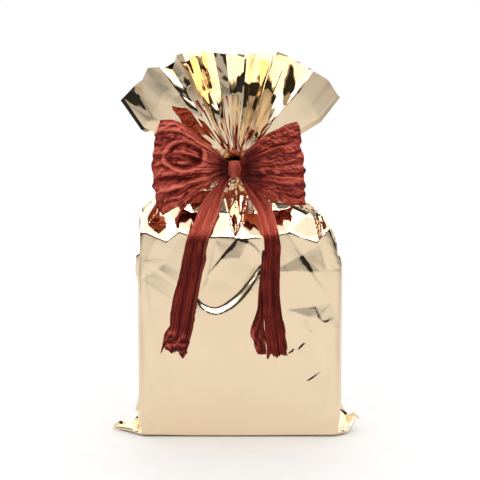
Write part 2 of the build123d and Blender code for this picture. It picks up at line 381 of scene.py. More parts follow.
class Noise:
    """Random numbers over a plane, from -1 to 1."""

    def __init__(self, seed):
        self.grid = np.random.default_rng(seed).uniform(-1, 1, (CELLS, CELLS))

    def cell(self, a, b):
        """The numbers at the corners of each point's cell, and the point's place in the cell."""
        i, j = np.floor(a).astype(int), np.floor(b).astype(int)
        values = [self.grid[(i + p) % CELLS, (j + q) % CELLS] for p, q in ((0, 0), (1, 0), (0, 1), (1, 1))]
        return *values, a - i, b - j

    def __call__(self, a, b):
        """A smooth surface about one unit from a hill to a hollow."""
        near, right, up, far, f, g = self.cell(a, b)
        f, g = f * f * (3 - 2 * f), g * g * (3 - 2 * g)
        return (near * (1 - f) + right * f) * (1 - g) + (up * (1 - f) + far * f) * g

    def facets(self, a, b):
        """Flat triangles about one unit wide."""
        near, right, up, far, f, g = self.cell(a, b)
        return np.where(f + g < 1, near + f * (right - near) + g * (up - near),
                        far + (1 - f) * (up - far) + (1 - g) * (right - far))

    def ridges(self, a, b):
        """0 in the creases, up to 1 between them."""
        return np.abs(self(a, b)) ** 0.7


def smooth(x, a, b):
    """0 before a, 1 after b, and an easy slope between them."""
    t = np.clip((x - a) / (b - a), 0, 1)
    return t * t * (3 - 2 * t)


def creased(t, v, count, levels, rng):
    """Folds across v that run along t: straight creases whose places and heights change at each level."""
    place = (np.arange(-1, count + 2) + rng.uniform(-0.38, 0.38, (levels + 1, count + 3))) / count
    height = rng.uniform(0.15, 1.0, place.shape) * np.where(np.arange(count + 3) % 2, 1, -1)
    out = np.empty_like(v)
    for i, at in enumerate(np.clip(t, 0, 1) * levels):
        k = min(int(at), levels - 1)
        f = at - k
        places, heights = (a[k] * (1 - f) + a[k + 1] * f for a in (place, height))
        out[i] = np.interp(v[i], places, heights)
    return out


def through(points, t):
    """Smooth curve through points, at t from 0 to 1 by length."""
    pts = np.array(points, float)
    arc = np.concatenate([[0], np.cumsum(np.linalg.norm(np.diff(pts, axis=0), axis=1))])
    arc /= arc[-1]
    ends = np.vstack([2 * pts[0] - pts[1], pts, 2 * pts[-1] - pts[-2]])
    t = np.clip(t, 0, 1)
    i = np.clip(np.searchsorted(arc, t, side="right") - 1, 0, len(pts) - 2)
    f = ((t - arc[i]) / (arc[i + 1] - arc[i]))[..., None]
    p0, p1, p2, p3 = ends[i], ends[i + 1], ends[i + 2], ends[i + 3]
    return 0.5 * (2 * p1 + (p2 - p0) * f + (2 * p0 - 5 * p1 + 4 * p2 - p3) * f ** 2
                  + (3 * p1 - p0 - 3 * p2 + p3) * f ** 3)


def grid_normals(G, wrap=False):
    """Unit normals of a grid of points; wrap joins the last column to the first."""
    du = np.gradient(G, axis=0)
    dv = (np.roll(G, -1, 1) - np.roll(G, 1, 1)) / 2 if wrap else np.gradient(G, axis=1)
    N = np.cross(dv, du)
    return N / (np.linalg.norm(N, axis=-1, keepdims=True) + 1e-12)


def shell(sheets, thickness):
    """Closed thin solids from grids of points. Each sheet is (points, normals, which cells are kept).
    Returns vertices, faces and normals."""
    all_v, all_f, all_n = [], [], []
    base = 0
    for G, N, keep in sheets:
        rows, cols = G.shape[:2]
        total = rows * cols
        idx = np.arange(total).reshape(rows, cols)
        quads = np.stack([idx[:-1, :-1], idx[:-1, 1:], idx[1:, 1:], idx[1:, :-1]], -1)
        q = quads[np.broadcast_to(keep, quads.shape[:2])]
        V = np.concatenate([(G + N * thickness / 2).reshape(-1, 3), (G - N * thickness / 2).reshape(-1, 3)])
        W = np.concatenate([N.reshape(-1, 3), -N.reshape(-1, 3)])
        edges = np.concatenate([q[:, [0, 1]], q[:, [1, 2]], q[:, [2, 3]], q[:, [3, 0]]])
        key = np.minimum(edges[:, 0], edges[:, 1]) * total + np.maximum(edges[:, 0], edges[:, 1])
        _, first, count = np.unique(key, return_index=True, return_counts=True)
        rim = edges[first[count == 1]]
        side = np.stack([rim[:, 1], rim[:, 0], rim[:, 0] + total, rim[:, 1] + total], -1)
        F = np.concatenate([q, q[:, ::-1] + total, side])
        used = np.unique(F)
        new = np.zeros(2 * total, int)
        new[used] = np.arange(len(used))
        all_v.append(V[used])
        all_n.append(W[used])
        all_f.append(new[F] + base)
        base += len(used)
    return np.concatenate(all_v), np.concatenate(all_f), np.concatenate(all_n)


SHARP = 11.0  # degrees; where the surface bends more than this within a cell, the crease is sharp


def crisp(V, F, normals):
    """The normals at the corners of the faces, with those of the face itself along its sharp creases."""
    corner = normals[F]
    flat = np.cross(V[F[:, 2]] - V[F[:, 0]], V[F[:, 3]] - V[F[:, 1]])
    size = np.linalg.norm(flat, axis=1)
    flat = flat / (size[:, None] + 1e-12)
    bent = (corner * flat[:, None]).sum(-1) < math.cos(math.radians(SHARP))
    return np.where((bent & (size > 1e-6)[:, None])[..., None], flat[:, None], corner)


def make(name, node, slot, V, faces, corner_normals=None, weave_and_shade=None):
    """A mesh in metres that stands for a CAD node, from vertices in millimetres and groups of faces."""
    mesh = bpy.data.meshes.new(name)
    mesh.vertices.add(len(V))
    mesh.vertices.foreach_set("co", (V * MM).astype(np.float32).ravel())
    loops = np.concatenate([F.ravel() for F in faces])
    sizes = np.concatenate([np.full(len(F), F.shape[1]) for F in faces])
    mesh.loops.add(len(loops))
    mesh.loops.foreach_set("vertex_index", loops.astype(np.int32))
    mesh.polygons.add(len(sizes))
    mesh.polygons.foreach_set("loop_start", (np.cumsum(sizes) - sizes).astype(np.int32))
    mesh.polygons.foreach_set("use_smooth", np.ones(len(sizes), bool))
    mesh.update(calc_edges=True)
    mesh.validate()
    if weave_and_shade is not None:
        attribute = mesh.attributes.new("weave_and_shade", "FLOAT_VECTOR", "POINT")
        attribute.data.foreach_set("vector", weave_and_shade.astype(np.float32).ravel())
    if corner_normals is not None:
        mesh.normals_split_custom_set(corner_normals.reshape(-1, 3).astype(np.float32).tolist())
    mesh.materials.append(MATERIALS[slot])
    obj = bpy.data.objects.new(name, mesh)
    bpy.context.scene.collection.objects.link(obj)
    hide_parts(node)
    return obj


def bend(obj, body_a, body_b, start, end):
    """Bakes a piece's transform into its mesh; body_a, body_b and start and end, the ends of the bend in
    millimetres, are not used.
    """
    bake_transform(obj)


# ---------------------------------------------------------------- materials

class Nodes:
    """Short calls for building a node tree."""

    def __init__(self, tree):
        self.tree = tree

    def add(self, kind, **inputs):
        return self.fill(self.tree.nodes.new(kind), **inputs)

    def fill(self, node, **inputs):
        """Sets a node's inputs, whose names have _ for each space."""
        for key, value in inputs.items():
            self.put(node.inputs[key.replace("_", " ")], value)
        return node

    def put(self, socket, value):
        if isinstance(value, bpy.types.NodeSocket):
            self.tree.links.new(value, socket)
        else:
            socket.default_value = value

    def math(self, operation, a, b=0.0, c=0.0, clamp=False):
        node = self.tree.nodes.new("ShaderNodeMath")
        node.operation = operation
        node.use_clamp = clamp
        for socket, value in zip(node.inputs, (a, b, c)):
            self.put(socket, value)
        return node.outputs[0]

    def ramp(self, factor, stops):
        """A blend through (place, colour or grey level) stops."""
        node = self.tree.nodes.new("ShaderNodeValToRGB")
        self.put(node.inputs[0], factor)
        elements = node.color_ramp.elements
        for place, _ in stops[1:-1]:
            elements.new(place)
        for element, (place, colour) in zip(elements, stops):
            element.position = place
            element.color = (*(colour if hasattr(colour, "__len__") else (colour,) * 3), 1)
        return node.outputs[0]

    def mix(self, factor, a, b):
        node = self.tree.nodes.new("ShaderNodeMix")
        node.data_type = "RGBA"
        for key, value in (("Factor", factor), ("A", a), ("B", b)):
            self.put(node.inputs[key], value)
        return node.outputs["Result"]

    def noise(self, vector, scale, detail=3.0, roughness=0.5):
        node = self.add("ShaderNodeTexNoise", Scale=scale, Detail=detail, Roughness=roughness, Vector=vector)
        return node.outputs[0]

    def stretch(self, vector, scale):
        return self.add("ShaderNodeMapping", Vector=vector, Scale=scale).outputs[0]

    def bump(self, strength, distance, height):
        return self.add("ShaderNodeBump", Strength=strength, Distance=distance, Height=height).outputs[0]

    def place(self):
        return self.add("ShaderNodeTexCoord").outputs["Object"]


def new_material(name):
    material = bpy.data.materials.new(name)
    material.use_nodes = True
    return material, Nodes(material.node_tree), material.node_tree.nodes["Principled BSDF"]


def foil_material():
    """Mirror film with a faint haze and a slow ripple."""
    material, n, shader = new_material("gold_film")
    place = n.place()
    colour = n.ramp(n.noise(place, 9.0, 2.0), [(0.3, (0.93, 0.735, 0.50)), (0.7, (0.95, 0.765, 0.54))])
    haze = n.math("MULTIPLY_ADD", n.noise(place, 60.0, 4.0), 0.05, 0.025)
    fine = n.math("MULTIPLY", n.noise(place, 220.0, 2.0), 0.12)
    ripple = n.bump(0.05, 0.004, n.math("ADD", n.noise(place, 45.0, 2.0), fine))
    n.fill(shader, Base_Color=colour, Metallic=1.0, Roughness=haze, Normal=ripple)
    return material


def ribbon_material():
    """Crinkled ribbon with fine fibres along it. Its vector attribute holds the place across the ribbon and
    along it in millimetres, and a level of painted shade and highlight: from how far the point stands out,
    creases are painted darker and ridges lighter."""
    material, n, shader = new_material("red_ribbon")
    weave_and_shade = n.add("ShaderNodeAttribute")
    weave_and_shade.attribute_name = "weave_and_shade"
    weave_and_shade = weave_and_shade.outputs["Vector"]
    stretched = n.stretch(weave_and_shade, (1.0, 0.06, 1.0))
    fibre = n.noise(stretched, 1.6, 4.0, 0.65)
    strand = n.noise(stretched, 0.45, 3.0, 0.6)
    blotch = n.noise(n.place(), 70.0, 3.0)
    relief = n.add("ShaderNodeSeparateXYZ", Vector=weave_and_shade).outputs["Z"]
    # tone mixes the ribbon's own fibres, strands and blotches with the painted shade and highlight of the
    # attribute's third value
    tone = n.math("MULTIPLY_ADD", fibre, 0.25, n.math("MULTIPLY", blotch, 0.15))
    tone = n.math("MULTIPLY_ADD", relief, 0.33, n.math("MULTIPLY_ADD", strand, 0.25, tone))
    colour = n.ramp(tone, [(0.28, (0.05, 0.003, 0.002)), (0.40, (0.17, 0.014, 0.009)),
                           (0.52, (0.38, 0.052, 0.034)), (0.66, (0.66, 0.155, 0.100))])
    n.fill(shader, Base_Color=colour, Roughness=n.math("MULTIPLY_ADD", fibre, 0.22, 0.20), Metallic=0.6,
           Specular_IOR_Level=0.35, Sheen_Weight=0.06, Sheen_Roughness=0.4, Sheen_Tint=(0.9, 0.45, 0.35, 1),
           Normal=n.bump(0.8, 0.0008, n.math("ADD", fibre, n.math("MULTIPLY", strand, 1.2))))
    return material


def board_material():
    """Uncoated carton board, with fibres that run across it."""
    material, n, shader = new_material("carton_board")
    fibre = n.noise(n.stretch(n.place(), (1.0, 1.0, 4.0)), 260.0, 5.0, 0.7)
    colour = n.ramp(fibre, [(0.3, (0.60, 0.53, 0.43)), (0.7, (0.76, 0.70, 0.60))])
    n.fill(shader, Base_Color=colour, Roughness=0.85, Normal=n.bump(0.3, 0.0004, fibre))
    return material


MATERIALS = {"gold_film": foil_material(), "red_ribbon": ribbon_material(), "carton_board": board_material()}


# ---------------------------------------------------------------- the bag

SEAM = 3.5  # width of the sealed seams
CORNER_X = 101.5  # the base corners start here
CORNER_TOP = 40.0  # and reach this high at most
SEAM_X = 99.0  # the side seams stand out to here
SEAM_ZONE = 7.0  # film this near to a seam is drawn out with it
LEFT_SEAM_TOP, RIGHT_SEAM_TOP = 205.0, 172.0
BASE_ROUND = 6.0  # height where the body's sides start to be straight


def straighten_seams(P, half, lo):
    """Draws each side seam of the body out to an upright line, which leaves a ridge along the bag's side."""
    n = P.shape[1]
    x, z = P[:lo, :, 0], P[:lo, :, 2]
    flat = smooth(z, BASE_ROUND, 40) * (1 - smooth(z, 150, 170))
    x += (np.clip(x, -SEAM_X, SEAM_X) - x) * flat
    reach = int(SEAM_ZONE / (2 * FLAT_WIDTH / n))
    for col, sign, top in ((0, -1, LEFT_SEAM_TOP), (half, 1, RIGHT_SEAM_TOP)):
        z = P[:lo, col, 2]
        out = np.maximum(SEAM_X - sign * P[:lo, col, 0], 0)
        out = out * smooth(z, BASE_ROUND, 44) * (1 - smooth(z, top - 25, top))
        for k in range(-reach, reach + 1):
            P[:lo, (col + k) % n, 0] += sign * out * (1 - abs(k) / (reach + 1))


# the mouth's rim from the left seam over the front to the right seam, then the back web's from right to left
FRONT_RIM = [
    (-115.5, 0, 338), (-104, -3, 350), (-95.5, -13, 357), (-90, -17, 369), (-78, -22, 370), (-66, -21, 367),
    (-62, -24, 382), (-56, -27, 384), (-46.5, -15, 385), (-37, -9, 384), (-26, -20, 384), (-14, -24, 383),
    (-9, -14, 382), (6, -21, 382), (15.5, -10, 382), (24.6, -17, 384), (35.5, -27, 386), (48, -13, 379),
    (65, -24, 369), (71, -25, 367), (87, -10, 356), (96.6, 0, 341),
]
BACK_RIM = [
    (96.6, 0, 341), (84, 11, 352), (74, 22, 362), (60, 27, 371), (47, 17, 376), (36, 25, 380),
    (27, 14, 378), (16, 22, 379), (8, 12, 378), (-3, 24, 380), (-16, 15, 378), (-26, 23, 379),
    (-36, 12, 378), (-48, 25, 379), (-62, 20, 374), (-74, 27, 366), (-90, 18, 358), (-104, 8, 348),
    (-115.5, 0, 338),
]
LEVELS = 3  # each fold changes its depth and place this many times on its way up
FOLD_DEPTHS, RIM_DEPTH = (0.5, 1.9), 1.6  # times the depth in the rim's table: on the way up, and at the rim
FOLD_SWAY, FOLD_BOW = 3.0, 5.5  # how far a fold wanders sideways and in depth
FOLD_SHIFT = 0.2  # how much earlier or later a fold changes than its neighbours
SAG = [(0, 0), (0.4, 0.72), (0.8, 1.0), (1, 0)]  # how the mouth's lower edges hang, from the tie to the rim
LEFT_SAG, RIGHT_SAG, SAG_X = 17.0, 12.5, (70, 110)  # how far they hang, at this far from the neck and further
UPRIGHT, BELLY = 0.72, 9.0  # how far out the rim is, and how far the film below it bellies out
NARROW, NARROW_TOP = 0.06, 0.3  # how much the film stays together above the tie, and up to where
PLEATS_END = 0.12  # the tie's own pleats fade out by here
FINE_FOLDS, FINE_DEPTH = 22, 0.9  # small folds on top of the large ones


def flare_out(P, hi, half, seed):
    """Sets the film above the tie: straight folds run from the neck's ring to the rim, and their depth
    changes on the way, so the facets between them break up into triangles."""
    rows, n = P.shape[0] - hi, P.shape[1]
    rng = np.random.default_rng(seed)
    t = np.linspace(0, 1, rows)
    for columns, rim in ((np.arange(half + 1), FRONT_RIM), (np.arange(half, n + 1) % n, BACK_RIM)):
        rim = np.array(rim, float)
        arc = np.concatenate([[0], np.cumsum(np.linalg.norm(np.diff(rim, axis=0), axis=1))])
        arc /= arc[-1]
        place = np.linspace(0, 1, len(columns))
        pleats = P[hi, columns].copy()
        ring = pleats.copy()
        for _ in range(8):
            ring[1:-1] = (ring[:-2] + 2 * ring[1:-1] + ring[2:]) / 4
        hang = np.where(rim[:, 0] < NECK_X, LEFT_SAG, RIGHT_SAG) * smooth(np.abs(rim[:, 0] - NECK_X), *SAG_X)
        sag = np.interp(place, arc, hang)
        mean_y = np.convolve(np.pad(rim[:, 1], 2, mode="edge"), np.ones(5) / 5, mode="valid")
        rim[:, 1] -= (1 - UPRIGHT) * mean_y
        mean_y = UPRIGHT * mean_y
        belly = BELLY * np.sign(mean_y[len(rim) // 2]) * np.interp(place, arc, smooth(np.abs(mean_y), 2, 12))
        depth = rng.uniform(*FOLD_DEPTHS, (LEVELS + 1, len(rim)))
        depth[-1] = RIM_DEPTH
        sway = rng.uniform(-FOLD_SWAY, FOLD_SWAY, depth.shape)
        bow = rng.uniform(-FOLD_BOW, FOLD_BOW, depth.shape)
        for change in (sway, bow):
            change[[0, -1]] = 0
            change[2] *= 0.7
            change[:, [0, -1]] = 0
        shift = rng.uniform(-FOLD_SHIFT, FOLD_SHIFT, len(rim))
        which = np.arange(len(rim))
        for i in range(rows):
            level = LEVELS * np.clip(t[i] + shift * np.sin(np.pi * t[i]), 0, 1)
            k = np.minimum(level.astype(int), LEVELS - 1)
            f = level - k
            deep, aside, out = (a[k, which] * (1 - f) + a[k + 1, which] * f for a in (depth, sway, bow))
            line = rim.copy()
            line[:, 1] = mean_y + (rim[:, 1] - mean_y) * deep + out
            line[[0, -1], 1] = 0
            line[:, 0] += aside
            edge = np.stack([np.interp(place, arc, line[:, a]) for a in range(3)], -1)
            root = ring + (pleats - ring) * (1 - smooth(t[i], 0, PLEATS_END))
            held = 0.5 * NARROW * np.sin(np.pi * min(t[i] / NARROW_TOP, 1))
            P[hi + i, columns] = root + (edge - root) * (t[i] - held)
            P[hi + i, columns, 2] += (edge - root)[:, 2] * held
            P[hi + i, columns, 1] += belly * np.sin(np.pi * t[i])
            P[hi + i, columns, 2] -= sag * np.interp(t[i], *zip(*SAG))
        fine = creased(t, np.broadcast_to(place, (rows, len(place))), FINE_FOLDS, 4, rng)
        fine *= smooth(t, 0.10, 0.45)[:, None] * smooth(np.minimum(place, 1 - place), 0.0, 0.12)
        P[hi:, columns, 1] += FINE_DEPTH * fine


# how far forward the front slope is by height over the shoulder's edge, and that edge's height across the bag
ROOF = [(-200, -26.9), (0, -26.9), (2, -26.3), (22, -15.0), (38, -11.5), (60, -8.5)]
SHOULDER_LINE = [(-92, 207), (-73, 198), (-60, 208), (-47, 203), (-28, 202.5), (-4, 201), (22, 202.5),
                 (36, 205), (50, 208), (64, 201), (76, 197), (90, 215)]
# where the front web is calmed: heights where that fades in and out, and the same across it, from 0 to 1
CALM_UP, CALM_ACROSS = ((60, 150), (246, 258)), ((0.015, 0.13), (0.85, 0.985))


def clean_roof(P, half, lo):
    """Calms the middle of the front slope below the neck, where facets are laid on later."""
    web = P[:lo, 1:half]
    across = np.arange(1, half) / half
    x, y, z = web[..., 0], web[..., 1], web[..., 2]
    slope = np.interp(z - np.interp(x, *zip(*SHOULDER_LINE)), *zip(*ROOF))
    share = smooth(z, *CALM_UP[0]) * (1 - smooth(z, *CALM_UP[1]))
    share *= smooth(across, *CALM_ACROSS[0]) * (1 - smooth(across, *CALM_ACROSS[1]))
    web[..., 1] = y + (slope - y) * share


def crumple(P, hi):
    """Small flat facets all over the film: long ones in the mouth that point to the neck, coarse and fine
    ones on the shoulder, and faint wide ones on the body."""
    m, n = P.shape[:2]
    N = grid_normals(P, wrap=True)
    v, u = np.meshgrid(np.arange(m) - hi, np.arange(n), indexing="ij")
    u = u * (2 * FLAT_WIDTH / n)
    v = v * ((LEFT_LENGTH + TIE) / hi)
    one, two = Noise(11), Noise(12)
    wu, wv = u + 9 * one(u / 31, v / 29), v + 9 * two(u / 33, v / 27)
    flare = smooth(v, 10, 40)
    above_body = smooth(v, -165, -130)
    shoulder = above_body * (1 - smooth(v, -30, -8))
    calm = 1 - 0.9 * ((u > 12) & (u < FLAT_WIDTH - 12))  # the front slope gets its own facets
    depth = flare * (1.1 * one.facets(u / 19 + v / 70, v / 41) + 0.4 * two.facets(u / 8 - v / 50, v / 19))
    depth += shoulder * calm * (1.3 * two.facets(wu / 21, wv / 19) + 0.45 * one.facets(wu / 8, wv / 9))
    depth += (1 - above_body) * 0.25 * one.facets(wu / 34, wv / 40)
    away = np.minimum(u, 2 * FLAT_WIDTH - u)
    depth *= smooth(np.minimum(away, np.abs(u - FLAT_WIDTH)), 0, 6)  # the seams stay straight
    P += N * depth[..., None]


FACET_SHARE, ROOF_Z = 0.42, 208  # the facets below the shoulder's edge are shallower than listed
# the corners of the front web's loose facets: (x, z, how far the film stands out)
FACET_POINTS = [
    (-99, 196, 0), (-80, 206, 0.6), (-62, 199, 1.8), (-40, 206, -0.6), (-25, 202, 0.8), (-4, 201, -3.0),
    (11, 205, 0.6), (26, 202, 1.2), (47, 207, -0.8), (60, 202, 1.0), (78, 196, -0.6), (99, 168, 0),
    (-99, 160, 0), (-92, 180, 1.2), (-75, 176, -1.3), (-58, 168, 1.6), (-33, 163, -1.2), (-18, 181, 0.9),
    (0, 182, 0.9), (17, 179, -0.4), (31, 168, 1.4), (60, 184, -1.6), (81, 168, 1.5), (-99, 112, 0),
    (-89, 131, -1.1), (-70, 140, 1.3), (-46, 146, -0.7), (0, 152, 1.0), (26, 148, 1.4), (44, 130, 0.7),
    (70, 133, -1.1), (78, 120, 1.1), (92, 138, -1.2), (99, 108, 0), (86, 108, -0.6), (-78, 94, 1.0),
    (-40, 104, 0.4), (10, 104, 0.7), (52, 90, -0.6), (64, 97, 0.9), (91, 88, -0.8), (75, 76, 0.9),
    (-99, 50, 0), (-50, 52, 0.3), (18, 58, 0.6), (56, 62, -0.4), (93, 62, 0.6), (99, 40, 0), (-70, 18, 0),
    (0, 18, 0), (70, 18, 0), (-15, 258, 0), (6, 258, 0), (-4.5, 256, -2), (-3.5, 241, -6), (-5, 224, -4.5),
    (-4.5, 211, -3.5), (-17, 246, 2.5), (-12, 226, 1.8), (-9, 212, 0.8), (9, 246, 2.0), (4, 227, 2.2),
    (1, 213, 0.8), (-50, 236, -2.5), (-31, 232, 2.0), (-66, 220, 1.5), (-80, 229, -5.0), (-90, 216, 0),
    (14, 226, -4.0), (20, 240, 1.0), (33, 236, -2.0), (52, 234, 1.0), (70, 226, -1.5), (84, 206, 0),
]
CRESCENT = [(-44, 143), (-36, 133), (-22, 129), (-5, 139), (10, 156), (22, 177)]  # a long hanging fold
CRESCENT_STEP, CRESCENT_WIDTH, CRESCENT_REACH = 2.5, (3.0, 7.0), 36.0
# smaller folds: path, how far the film stands out below it, the step's width, and how far the swell reaches
SMALL_FOLDS = [
    ([(88, 170), (80, 200), (73, 226), (66, 250)], 2.2, 5.0, 20.0),
    ([(-4, 201), (10, 197), (19, 188), (23, 176)], 0.40, 2.0, 12.0),
    ([(-33, 164), (-4, 200)], 0.45, 2.0, 14.0),
    ([(-36, 150), (-30, 172), (-25, 199)], 0.30, 2.0, 8.0),
    ([(-72, 96), (-86, 122), (-92, 150), (-93, 181)], 0.75, 2.5, 30.0),
    ([(-60, 152), (-80, 168), (-96, 178)], 0.30, 2.0, 14.0),
    ([(-66, 92), (-80, 116), (-97, 146)], 0.22, 2.5, 16.0),
    ([(-98, 42), (-90, 20), (-78, 1)], 0.8, 7.0, 22.0),
    ([(66, 1), (84, 14), (99, 38)], 0.9, 7.0, 26.0),
    ([(46, 83), (55, 91)], 0.6, 2.0, 7.0),
    ([(56, 87), (64, 97)], 0.7, 2.0, 7.0),
    ([(62, 56), (70, 59), (84, 70)], 0.6, 2.5, 12.0),
    ([(66, 120), (70, 108), (80, 112)], 0.30, 2.0, 6.0),
    ([(74, 134), (82, 118), (92, 122)], 0.35, 2.0, 8.0),
    ([(45, 211), (60, 186), (76, 160), (92, 138)], 0.5, 4.0, 20.0),
]


def along_path(P, path):
    """Distance across a curved (x, z) path, positive to its right, and a taper that is 0 beyond its ends."""
    t = np.linspace(0, 1, 50)
    line = through(path, t)
    tangent = np.gradient(line, axis=0)
    tangent /= np.linalg.norm(tangent, axis=1)[:, None]
    d = P[..., [0, 2]][..., None, :] - line
    k = (d ** 2).sum(-1).argmin(-1)
    off = np.take_along_axis(d, k[..., None, None].repeat(2, -1), -2)[..., 0, :]
    across = off[..., 1] * tangent[k][..., 0] - off[..., 0] * tangent[k][..., 1]
    past = np.abs((off * tangent[k]).sum(-1))
    return -across, np.sin(np.pi * t[k]) ** 0.7 * np.exp(-(past / 5) ** 2)


def front_facets(P, half, lo):
    """Adds the loose film's facets and folds to the front web."""
    web = P[:lo, 1:half]
    x, z = web[..., 0], web[..., 2]
    points = np.array(FACET_POINTS, float)
    points[:, 2] *= np.where(points[:, 1] < ROOF_Z, FACET_SHARE, 1.0)
    _, _, triangles, *_ = delaunay_2d_cdt([Vector(p[:2]) for p in points], [], [], 0, 1e-6)
    out = np.zeros(x.shape)
    for corner in triangles:
        (ax, az, ad), (bx, bz, bd), (cx, cz, cd) = points[list(corner)]
        det = (bz - cz) * (ax - cx) + (cx - bx) * (az - cz)
        if abs(det) < 1e-9:
            continue
        u = ((bz - cz) * (x - cx) + (cx - bx) * (z - cz)) / det
        v = ((cz - az) * (x - cx) + (ax - cx) * (z - cz)) / det
        inside = (u >= 0) & (v >= 0) & (u + v <= 1)
        out = np.where(inside, u * ad + v * bd + (1 - u - v) * cd, out)
    below, taper = along_path(web, CRESCENT)
    width = CRESCENT_WIDTH[0] + CRESCENT_WIDTH[1] * taper ** 2
    step = smooth(below, -width / 2, width / 2) * (1 - smooth(below, width / 2, width / 2 + CRESCENT_REACH))
    out += CRESCENT_STEP * taper * step
    for path, height, width, reach in SMALL_FOLDS:
        below, taper = along_path(web, path)
        out += height * taper * smooth(below, -width / 2, width / 2) * (1 - smooth(below, width / 2, reach))
    web[..., 1] -= out * smooth(z, 5, 20)


def fin(P, col, lo):
    """The sealed seam that stands out from a side: a grid of rows x 4 from the seam line outwards."""
    out = 2 * P[:, col] - P[:, col - 1] - P[:, col + 1]
    out /= np.linalg.norm(out, axis=1)[:, None] + 1e-9
    for _ in range(6):
        out[1:-1] = (out[:-2] + out[1:-1] + out[2:]) / 3
    z = P[:, col, 2]
    upright = smooth(z, 14, 30) * (1 - smooth(z, 165, 190)) * (np.arange(len(z)) < lo)
    out += 4 * upright[:, None] * np.array([np.sign(P[lo // 2, col, 0]), 0, 0])
    out /= np.linalg.norm(out, axis=1)[:, None]
    grid = P[:, col][:, None] + out[:, None] * np.linspace(-0.4, SEAM, 4)[None, :, None]
    grid[..., 2] = np.maximum(grid[..., 2], FILM / 2)
    return grid


def shaped_film():
    """The whole bag's film as a grid, and the rows where the tie starts and ends."""
    film, P = solved_film()
    step = 2
    if step == 2:
        P = refined(P)
    half = P.shape[1] // 2
    lo, hi = film.lo * step, film.hi * step
    tie = P[lo: hi + 1].copy()
    P = sharpened(P, 2, 0.10, 2, 0.9)
    straighten_seams(P, half, lo)
    clean_roof(P, half, lo)
    flare_out(P, hi, half, 5)
    crumple(P, hi)
    front_facets(P, half, lo)
    P[lo: hi + 1] = tie
    P[:, [0, half], 1] = 0
    P[..., 2] = np.maximum(P[..., 2], 0) + LIFT
    return P, lo, hi


def bottom_seam():
    """The sealed bottom edge, folded flat under the bag."""
    x = np.linspace(-CORNER_X, CORNER_X, 140)[None]
    fold = np.linspace(-SEAM, 0.5, 5)[:, None]
    grid = np.stack(np.broadcast_arrays(x, fold + Noise(3)(x / 9.0, x * 0) * 0.5, 0.25 + 0 * x), -1)
    return grid, np.broadcast_to([0.0, 0.0, 1.0], grid.shape), True


def bag_pieces(P, lo, hi):
    """Cuts the film's grid into each node's sheets: (points, normals, which cells are kept)."""
    half = P.shape[1] // 2
    wide, wide_n = (np.concatenate([A, A[:, :1]], 1) for A in (P, grid_normals(P, wrap=True)))
    webs = [(wide[:, :half + 1], wide_n[:, :half + 1]), (wide[:, half:], wide_n[:, half:])]
    fins = [(G, grid_normals(G)) for G in (fin(P, 0, lo), fin(P, half, lo))]
    rows = np.arange(len(P) - 1)[:, None]

    def corner(G, side):
        c = (G[:-1, :-1] + G[1:, :-1] + G[:-1, 1:] + G[1:, 1:]) / 4
        return (c[..., 0] * side > CORNER_X) & (c[..., 2] < CORNER_TOP) & (rows < lo // 2)

    pieces = {}
    for name, (G, N) in zip(("front_panel", "back_panel"), webs):
        pieces[name] = [(G, N, (rows < lo) & ~corner(G, -1) & ~corner(G, 1))]
    for name, side, seam in zip(("left", "right"), (-1, 1), fins):
        pieces[name + "_base_corner"] = [(G, N, corner(G, side)) for G, N in (*webs, seam)]
        pieces[name + "_side_seam"] = [(*seam, (rows < lo) & ~corner(seam[0], side))]
    pieces["front_mouth"] = [(*sheet, rows >= hi) for sheet in (webs[0], *fins)]
    pieces["back_mouth"] = [(*webs[1], rows >= hi)]
    pieces["neck_gather"] = [(*web, (rows >= lo) & (rows < hi)) for web in webs]
    pieces["bottom_seam"] = [bottom_seam()]
    return pieces


MOUTH_BEND = 28.0  # the mouth would turn fully this far from the middle, and not at all at its side seams; bend() makes no bend
CORNER_BEND = 100.0, 109.0

FILM_BENDS = {  # pieces that would join the bag to a moving body, and where they would start and stop bending; bend() only bakes their transforms
    "front_mouth": ("front_mouth", (0, 0, 0), (0, -MOUTH_BEND, 0)),
    "back_mouth": ("back_mouth", (0, 0, 0), (0, MOUTH_BEND, 0)),
    "left_base_corner": ("left_corner", (-CORNER_BEND[0], 0, 0), (-CORNER_BEND[1], 0, 0)),
    "right_base_corner": ("right_corner", (CORNER_BEND[0], 0, 0), (CORNER_BEND[1], 0, 0)),
}


def build_bag():
    for name, sheets in bag_pieces(*shaped_film()).items():
        V, F, W = shell(sheets, FILM)
        obj = make(name + "_film", name, "gold_film", V, [F], crisp(V, F, W))
        if name in FILM_BENDS:
            body, start, end = FILM_BENDS[name]
            bend(obj, "bag", body, start, end)
        else:
            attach(obj, "bag")


# ---------------------------------------------------------------- the ribbon

PAPER = 0.7  # thickness of a layer of crinkled ribbon
BAND_LOW, BAND_HIGH = corners("neck_band")
KNOT_LOW, KNOT_HIGH = corners("bow_knot")
KNOT_X, KNOT_Y, KNOT_Z = (KNOT_LOW + KNOT_HIGH) / 2
RELIEF_REACH = 14  # how many grid steps the relief's smooth surface is averaged over
TAIL_PAINTED_HIGHLIGHT, TAIL_PAINTED_SHADE = 0.8, 0.22  # a painted highlight where a tail slopes near its top, and painted shade over the whole tail, so it is darker where it hangs
DEEP_SHADE, DEEP_REACH = 0.7, 18.0  # painted shade makes the ribbon darker in the deep pleats round the knot


def relief_of(G):
    """How far each point of a grid stands out from the smoothed grid, 0 in a crease and 1 on a ridge."""
    soft = G.copy()
    for _ in range(RELIEF_REACH):
        wide = np.pad(soft, ((1, 1), (1, 1), (0, 0)), mode="edge")
        soft = (wide[:-2, 1:-1] + wide[2:, 1:-1] + wide[1:-1, :-2] + wide[1:-1, 2:] + soft) / 5
    out = ((G - soft) * grid_normals(soft)).sum(-1)
    return np.clip(0.5 + 0.5 * out / (1.6 * out.std() + 1e-9), 0, 1)


